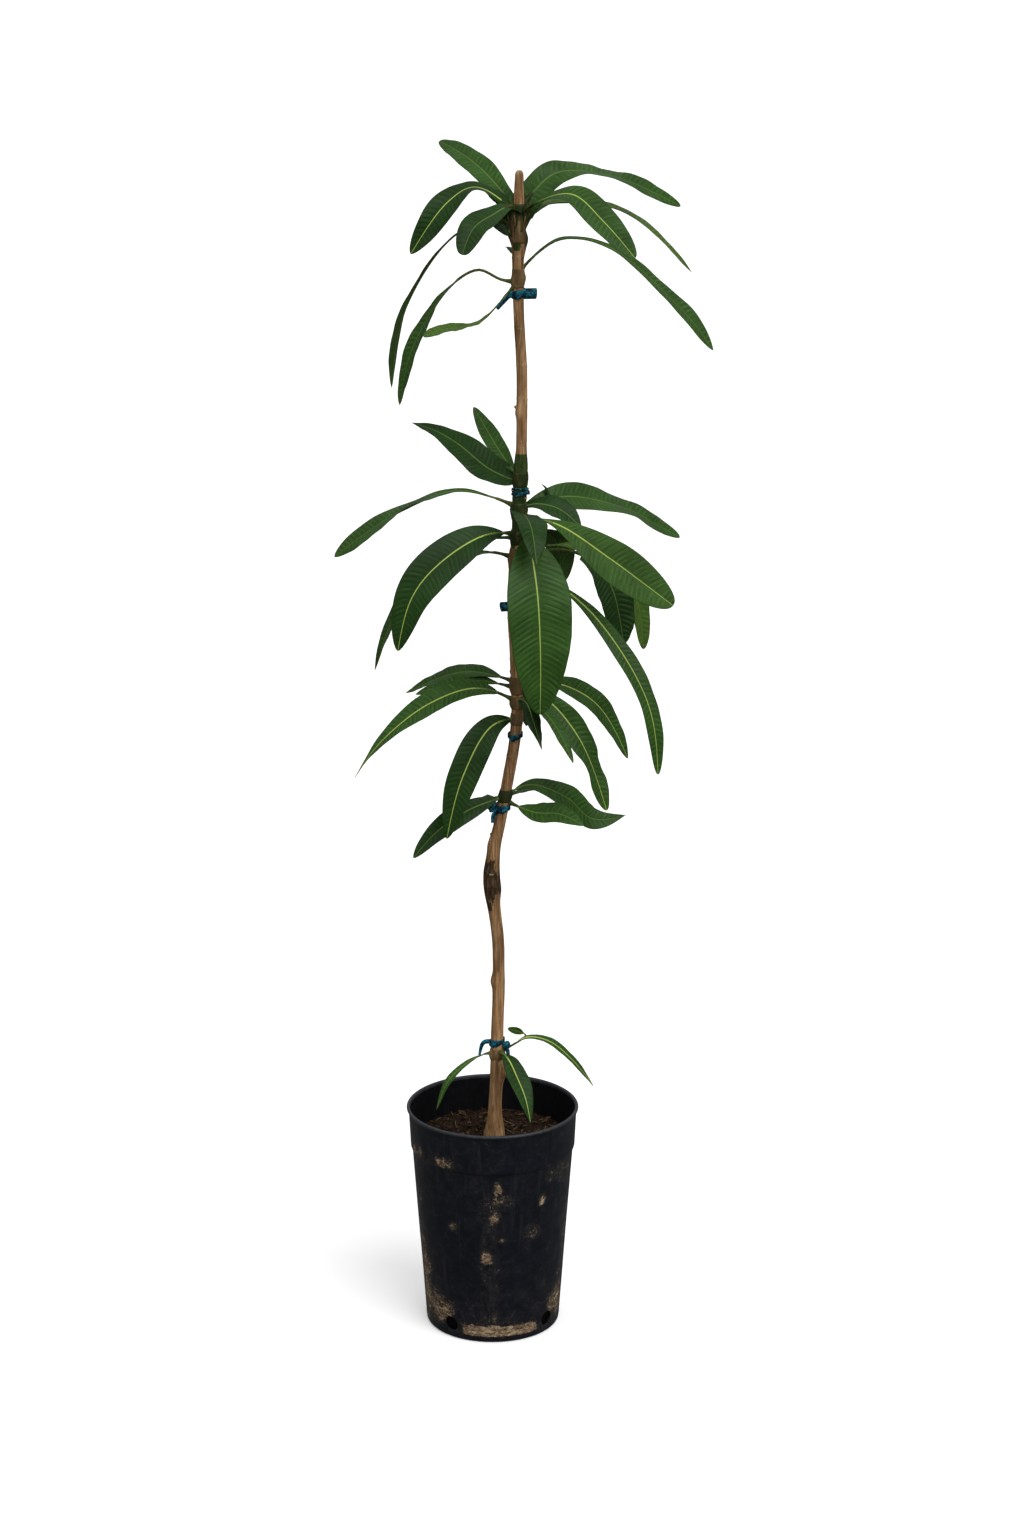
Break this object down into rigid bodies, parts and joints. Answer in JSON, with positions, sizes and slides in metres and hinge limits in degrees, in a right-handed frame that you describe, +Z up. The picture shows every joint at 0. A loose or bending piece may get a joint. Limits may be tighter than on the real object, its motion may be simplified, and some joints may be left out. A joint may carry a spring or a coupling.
{
  "type": "potted mango sapling",
  "caption": "Young mango tree with a slim grafted stem, whorls of long drooping leaves and soft ties, growing in a tapered dark nursery pot.",
  "frame": {"origin": "centre of the pot's flat underside", "axes": "+Z up along the stem, -Y towards the front that the largest hanging leaf faces, +X to the right of that front"},
  "size_m": [0.4277, 0.3071, 1.3851],
  "materials": {
    "pot": "satin",
    "soil": "matte",
    "bark": "matte",
    "leaf": "satin",
    "tie": "satin"
  },
  "bodies": {
    "root": {"pot": "pot", "soil": "soil", "trunk": "bark", "foliage_top": "leaf", "foliage_top_low": "leaf", "foliage_middle_high": "leaf", "foliage_middle": "leaf", "foliage_middle_mid": "leaf", "foliage_middle_low": "leaf", "foliage_lower_high": "leaf", "foliage_lower": "leaf", "foliage_lower_low": "leaf", "foliage_lowest": "leaf", "shoots_base": "leaf", "tie_top": "tie", "tie_middle_high": "tie", "tie_middle_low": "tie", "tie_lower": "tie", "tie_lowest": "tie", "tie_base": "tie"}
  },
  "joints": []
}
